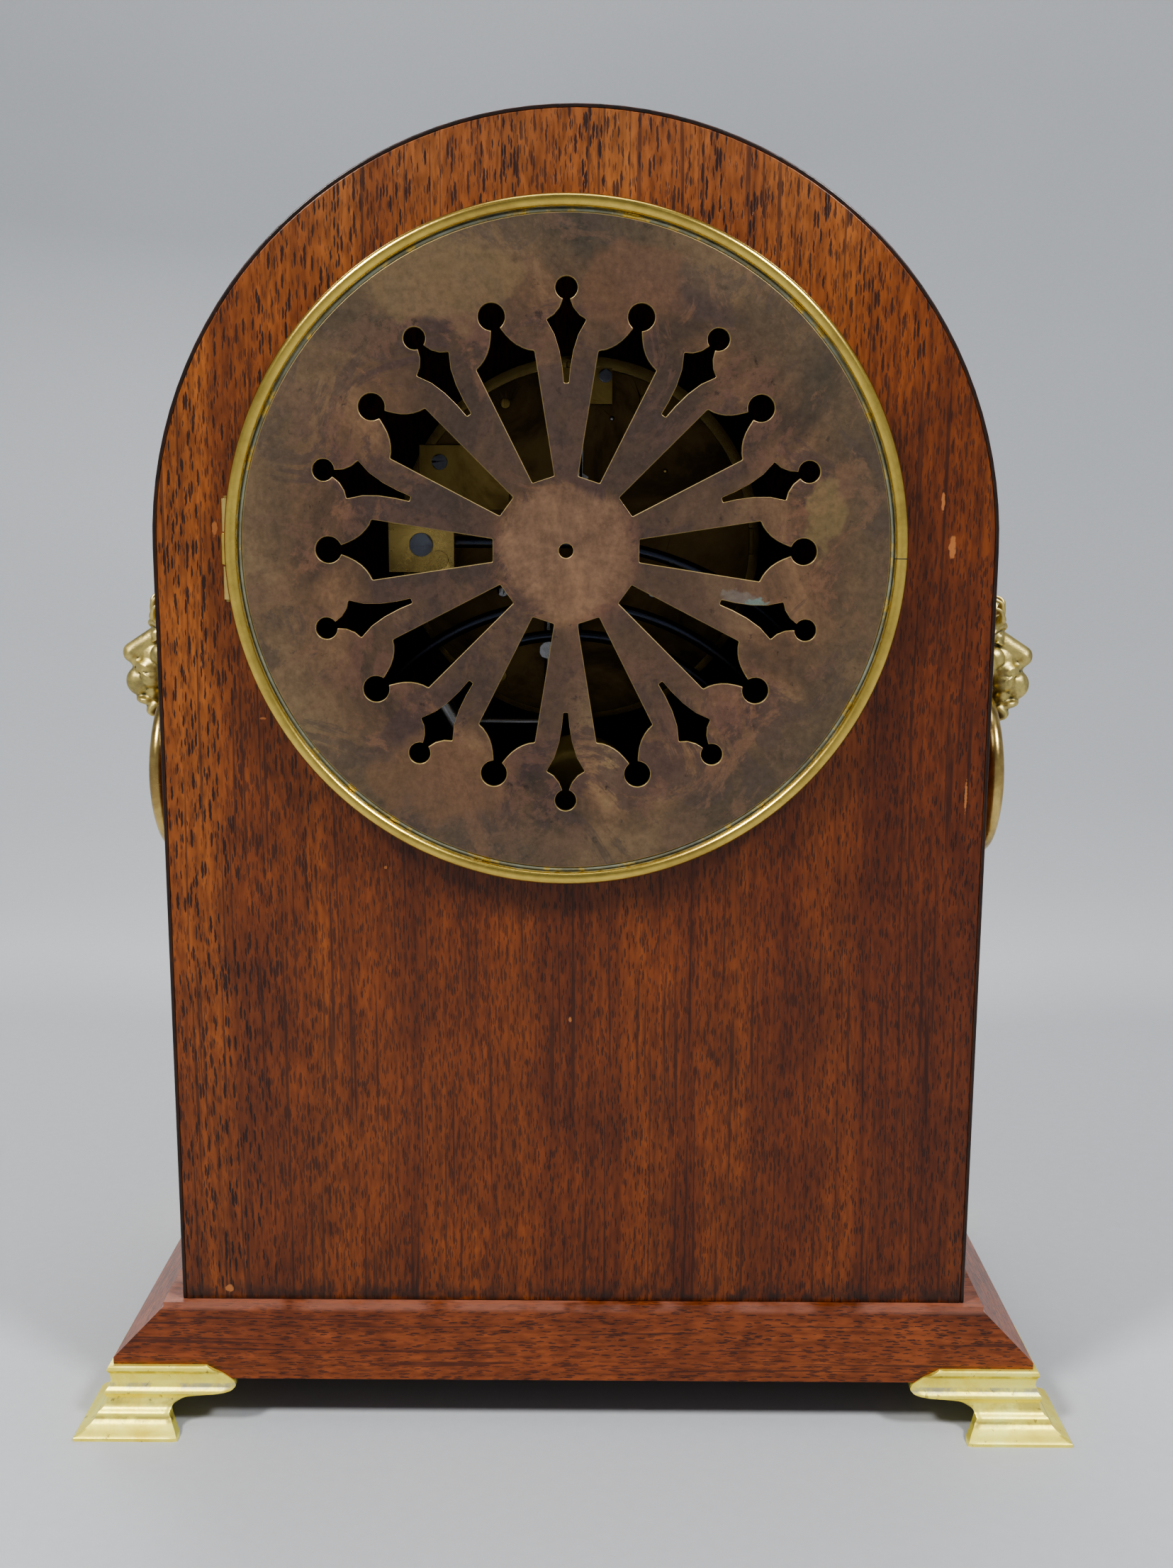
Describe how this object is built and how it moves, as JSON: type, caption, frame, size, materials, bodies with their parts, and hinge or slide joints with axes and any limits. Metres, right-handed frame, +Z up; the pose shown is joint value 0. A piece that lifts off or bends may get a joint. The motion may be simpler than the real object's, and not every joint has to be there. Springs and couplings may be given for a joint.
{
  "type": "mantel clock",
  "caption": "Arched wooden mantel clock with pierced brass back door, lion-mask ring handles, bracket feet, glazed dial and a striking pendulum movement.",
  "frame": {"origin": "centre of the clock's footprint, on the surface that it stands on", "axes": "+Z up; -Y out of the dial, +Y out of the back door; +X is the left side of the back as a viewer behind the clock sees it"},
  "size_m": [0.2636, 0.158, 0.337],
  "materials": {
    "mahogany": "French-polished mahogany",
    "pine": "plain secondary wood",
    "door_brass": "aged and patinated brass",
    "bright_brass": "polished brass",
    "plate_brass": "grained brass",
    "steel": "polished steel",
    "blued_steel": "blued steel",
    "enamel": "white vitreous enamel on copper",
    "glass": "clear convex glass"
  },
  "bodies": {
    "case": {"case_shell": "mahogany", "front_panel": "mahogany", "back_panel": "mahogany", "plinth": "mahogany", "base_board": "pine", "foot_back_left": "bright_brass", "foot_back_right": "bright_brass", "foot_front_left": "bright_brass", "foot_front_right": "bright_brass", "foot_screws": "bright_brass", "mask_left": "bright_brass", "mask_right": "bright_brass", "mask_screws": "bright_brass", "seat_ring": "door_brass", "hinge_pins": "steel", "bezel_seat": "bright_brass", "dial_plate": "enamel", "seat_screws": "bright_brass", "front_plate": "plate_brass", "back_plate": "plate_brass", "pillars": "plate_brass", "movement_screws": "steel", "suspension_cock": "plate_brass", "gong_bracket": "plate_brass", "gong_block": "plate_brass", "gong_coil": "blued_steel"},
    "back_door": {"door_ring": "door_brass", "door_fret": "door_brass"},
    "front_bezel": {"bezel": "bright_brass", "dial_glass": "glass"},
    "handle_left": {"ring_left": "bright_brass"},
    "handle_right": {"ring_right": "bright_brass"},
    "minute_arbor": {"centre_wheel": "plate_brass", "cannon_pinion": "steel", "minute_hand": "blued_steel", "hand_nut": "bright_brass"},
    "hour_pipe": {"hour_wheel": "plate_brass", "hour_hand": "blued_steel"},
    "minute_work": {"minute_wheel": "plate_brass"},
    "time_great": {"time_barrel": "plate_brass", "time_spring": "steel"},
    "time_winder": {"time_arbor": "steel"},
    "time_pawl": {"time_click": "steel"},
    "second_arbor": {"second_wheel": "plate_brass"},
    "third_arbor": {"third_wheel": "plate_brass"},
    "escape_arbor": {"escape_wheel": "plate_brass"},
    "crutch": {"anchor": "steel"},
    "pendulum": {"suspension_spring": "steel", "pendulum_rod": "steel", "pendulum_bob": "bright_brass", "rating_nut": "bright_brass"},
    "strike_great": {"strike_barrel": "plate_brass", "strike_spring": "steel"},
    "strike_winder": {"strike_arbor": "steel"},
    "strike_pawl": {"strike_click": "steel"},
    "pin_arbor": {"pin_wheel": "plate_brass"},
    "lock_arbor": {"locking_wheel": "plate_brass"},
    "warn_arbor": {"warning_wheel": "plate_brass"},
    "fly_arbor": {"fly": "plate_brass"},
    "strike_hammer": {"hammer": "steel"}
  },
  "joints": [
    {"name": "back_door_hinge", "type": "hinge", "parent": "case", "child": "back_door", "pos_m": [0.0848, 0.0706, 0.233], "axis": [0, 0, -1], "range_deg": [0, 100]},
    {"name": "front_bezel_hinge", "type": "hinge", "parent": "case", "child": "front_bezel", "pos_m": [0.0676, -0.0554, 0.233], "axis": [0, 0, 1], "range_deg": [0, 100]},
    {"name": "left_ring_swing", "type": "hinge", "parent": "case", "child": "handle_left", "pos_m": [0.1153, 0.008, 0.1908], "axis": [0, -1, 0], "range_deg": [-10, 95]},
    {"name": "right_ring_swing", "type": "hinge", "parent": "case", "child": "handle_right", "pos_m": [-0.1153, 0.008, 0.1908], "axis": [0, 1, 0], "range_deg": [-10, 95]},
    {"name": "minute_turn", "type": "hinge", "parent": "case", "child": "minute_arbor", "pos_m": [0, -0.025, 0.233], "axis": [0, 1, 0], "continuous": true},
    {"name": "hour_turn", "type": "hinge", "parent": "case", "child": "hour_pipe", "pos_m": [0, -0.025, 0.233], "axis": [0, 1, 0], "continuous": true},
    {"name": "minute_wheel_turn", "type": "hinge", "parent": "case", "child": "minute_work", "pos_m": [0, -0.025, 0.2218], "axis": [0, 1, 0], "continuous": true},
    {"name": "time_barrel_turn", "type": "hinge", "parent": "case", "child": "time_great", "pos_m": [0.022, -0.025, 0.219], "axis": [0, 1, 0], "continuous": true},
    {"name": "second_turn", "type": "hinge", "parent": "case", "child": "second_arbor", "pos_m": [0.01684, -0.025, 0.23936], "axis": [0, 1, 0], "continuous": true},
    {"name": "third_turn", "type": "hinge", "parent": "case", "child": "third_arbor", "pos_m": [-0.00722, -0.025, 0.24871], "axis": [0, 1, 0], "continuous": true},
    {"name": "escape_turn", "type": "hinge", "parent": "case", "child": "escape_arbor", "pos_m": [0, -0.025, 0.262], "axis": [0, 1, 0], "continuous": true},
    {"name": "time_winding", "type": "hinge", "parent": "case", "child": "time_winder", "pos_m": [0.022, -0.025, 0.219], "axis": [0, 1, 0], "continuous": true},
    {"name": "strike_winding", "type": "hinge", "parent": "case", "child": "strike_winder", "pos_m": [-0.022, -0.025, 0.219], "axis": [0, 1, 0], "continuous": true},
    {"name": "time_click_turn", "type": "hinge", "parent": "case", "child": "time_pawl", "pos_m": [0.0324, -0.025, 0.2126], "axis": [0, 1, 0], "range_deg": [0, 9], "stiffness_Nm_per_rad": 0.001},
    {"name": "strike_click_turn", "type": "hinge", "parent": "case", "child": "strike_pawl", "pos_m": [-0.0324, -0.025, 0.2126], "axis": [0, 1, 0], "range_deg": [-9, 0], "stiffness_Nm_per_rad": 0.001},
    {"name": "pendulum_swing", "type": "hinge", "parent": "case", "child": "pendulum", "pos_m": [0, 0.001, 0.275], "axis": [0, 1, 0], "range_deg": [-3.5, 3.5]},
    {"name": "anchor_rock", "type": "hinge", "parent": "case", "child": "crutch", "pos_m": [0, 0.001, 0.275], "axis": [0, 1, 0], "range_deg": [-3.5, 3.5]},
    {"name": "strike_barrel_turn", "type": "hinge", "parent": "case", "child": "strike_great", "pos_m": [-0.022, -0.025, 0.219], "axis": [0, 1, 0], "continuous": true},
    {"name": "pin_wheel_turn", "type": "hinge", "parent": "case", "child": "pin_arbor", "pos_m": [-0.0272, -0.025, 0.2386], "axis": [0, 1, 0], "continuous": true},
    {"name": "locking_turn", "type": "hinge", "parent": "case", "child": "lock_arbor", "pos_m": [-0.0252, -0.025, 0.2538], "axis": [0, 1, 0], "continuous": true},
    {"name": "warning_turn", "type": "hinge", "parent": "case", "child": "warn_arbor", "pos_m": [-0.0168, -0.025, 0.2624], "axis": [0, 1, 0], "continuous": true},
    {"name": "fly_turn", "type": "hinge", "parent": "case", "child": "fly_arbor", "pos_m": [-0.0096, -0.025, 0.2686], "axis": [0, 1, 0], "continuous": true},
    {"name": "hammer_lift", "type": "hinge", "parent": "case", "child": "strike_hammer", "pos_m": [0.0086, -0.025, 0.202], "axis": [0, 1, 0], "range_deg": [-1, 12], "stiffness_Nm_per_rad": 0.02}
  ],
  "couplings": [
    {"joint": "hour_turn", "follows": "minute_turn", "ratio": 0.083333},
    {"joint": "minute_wheel_turn", "follows": "minute_turn", "ratio": -0.33333},
    {"joint": "second_turn", "follows": "minute_turn", "ratio": -0.125},
    {"joint": "time_barrel_turn", "follows": "minute_turn", "ratio": 0.020833},
    {"joint": "third_turn", "follows": "minute_turn", "ratio": -12},
    {"joint": "escape_turn", "follows": "minute_turn", "ratio": 132},
    {"joint": "anchor_rock", "follows": "pendulum_swing", "ratio": 1},
    {"joint": "pin_wheel_turn", "follows": "locking_turn", "ratio": -0.13333},
    {"joint": "strike_barrel_turn", "follows": "locking_turn", "ratio": 0.016667},
    {"joint": "warning_turn", "follows": "locking_turn", "ratio": -8},
    {"joint": "fly_turn", "follows": "locking_turn", "ratio": 56}
  ]
}
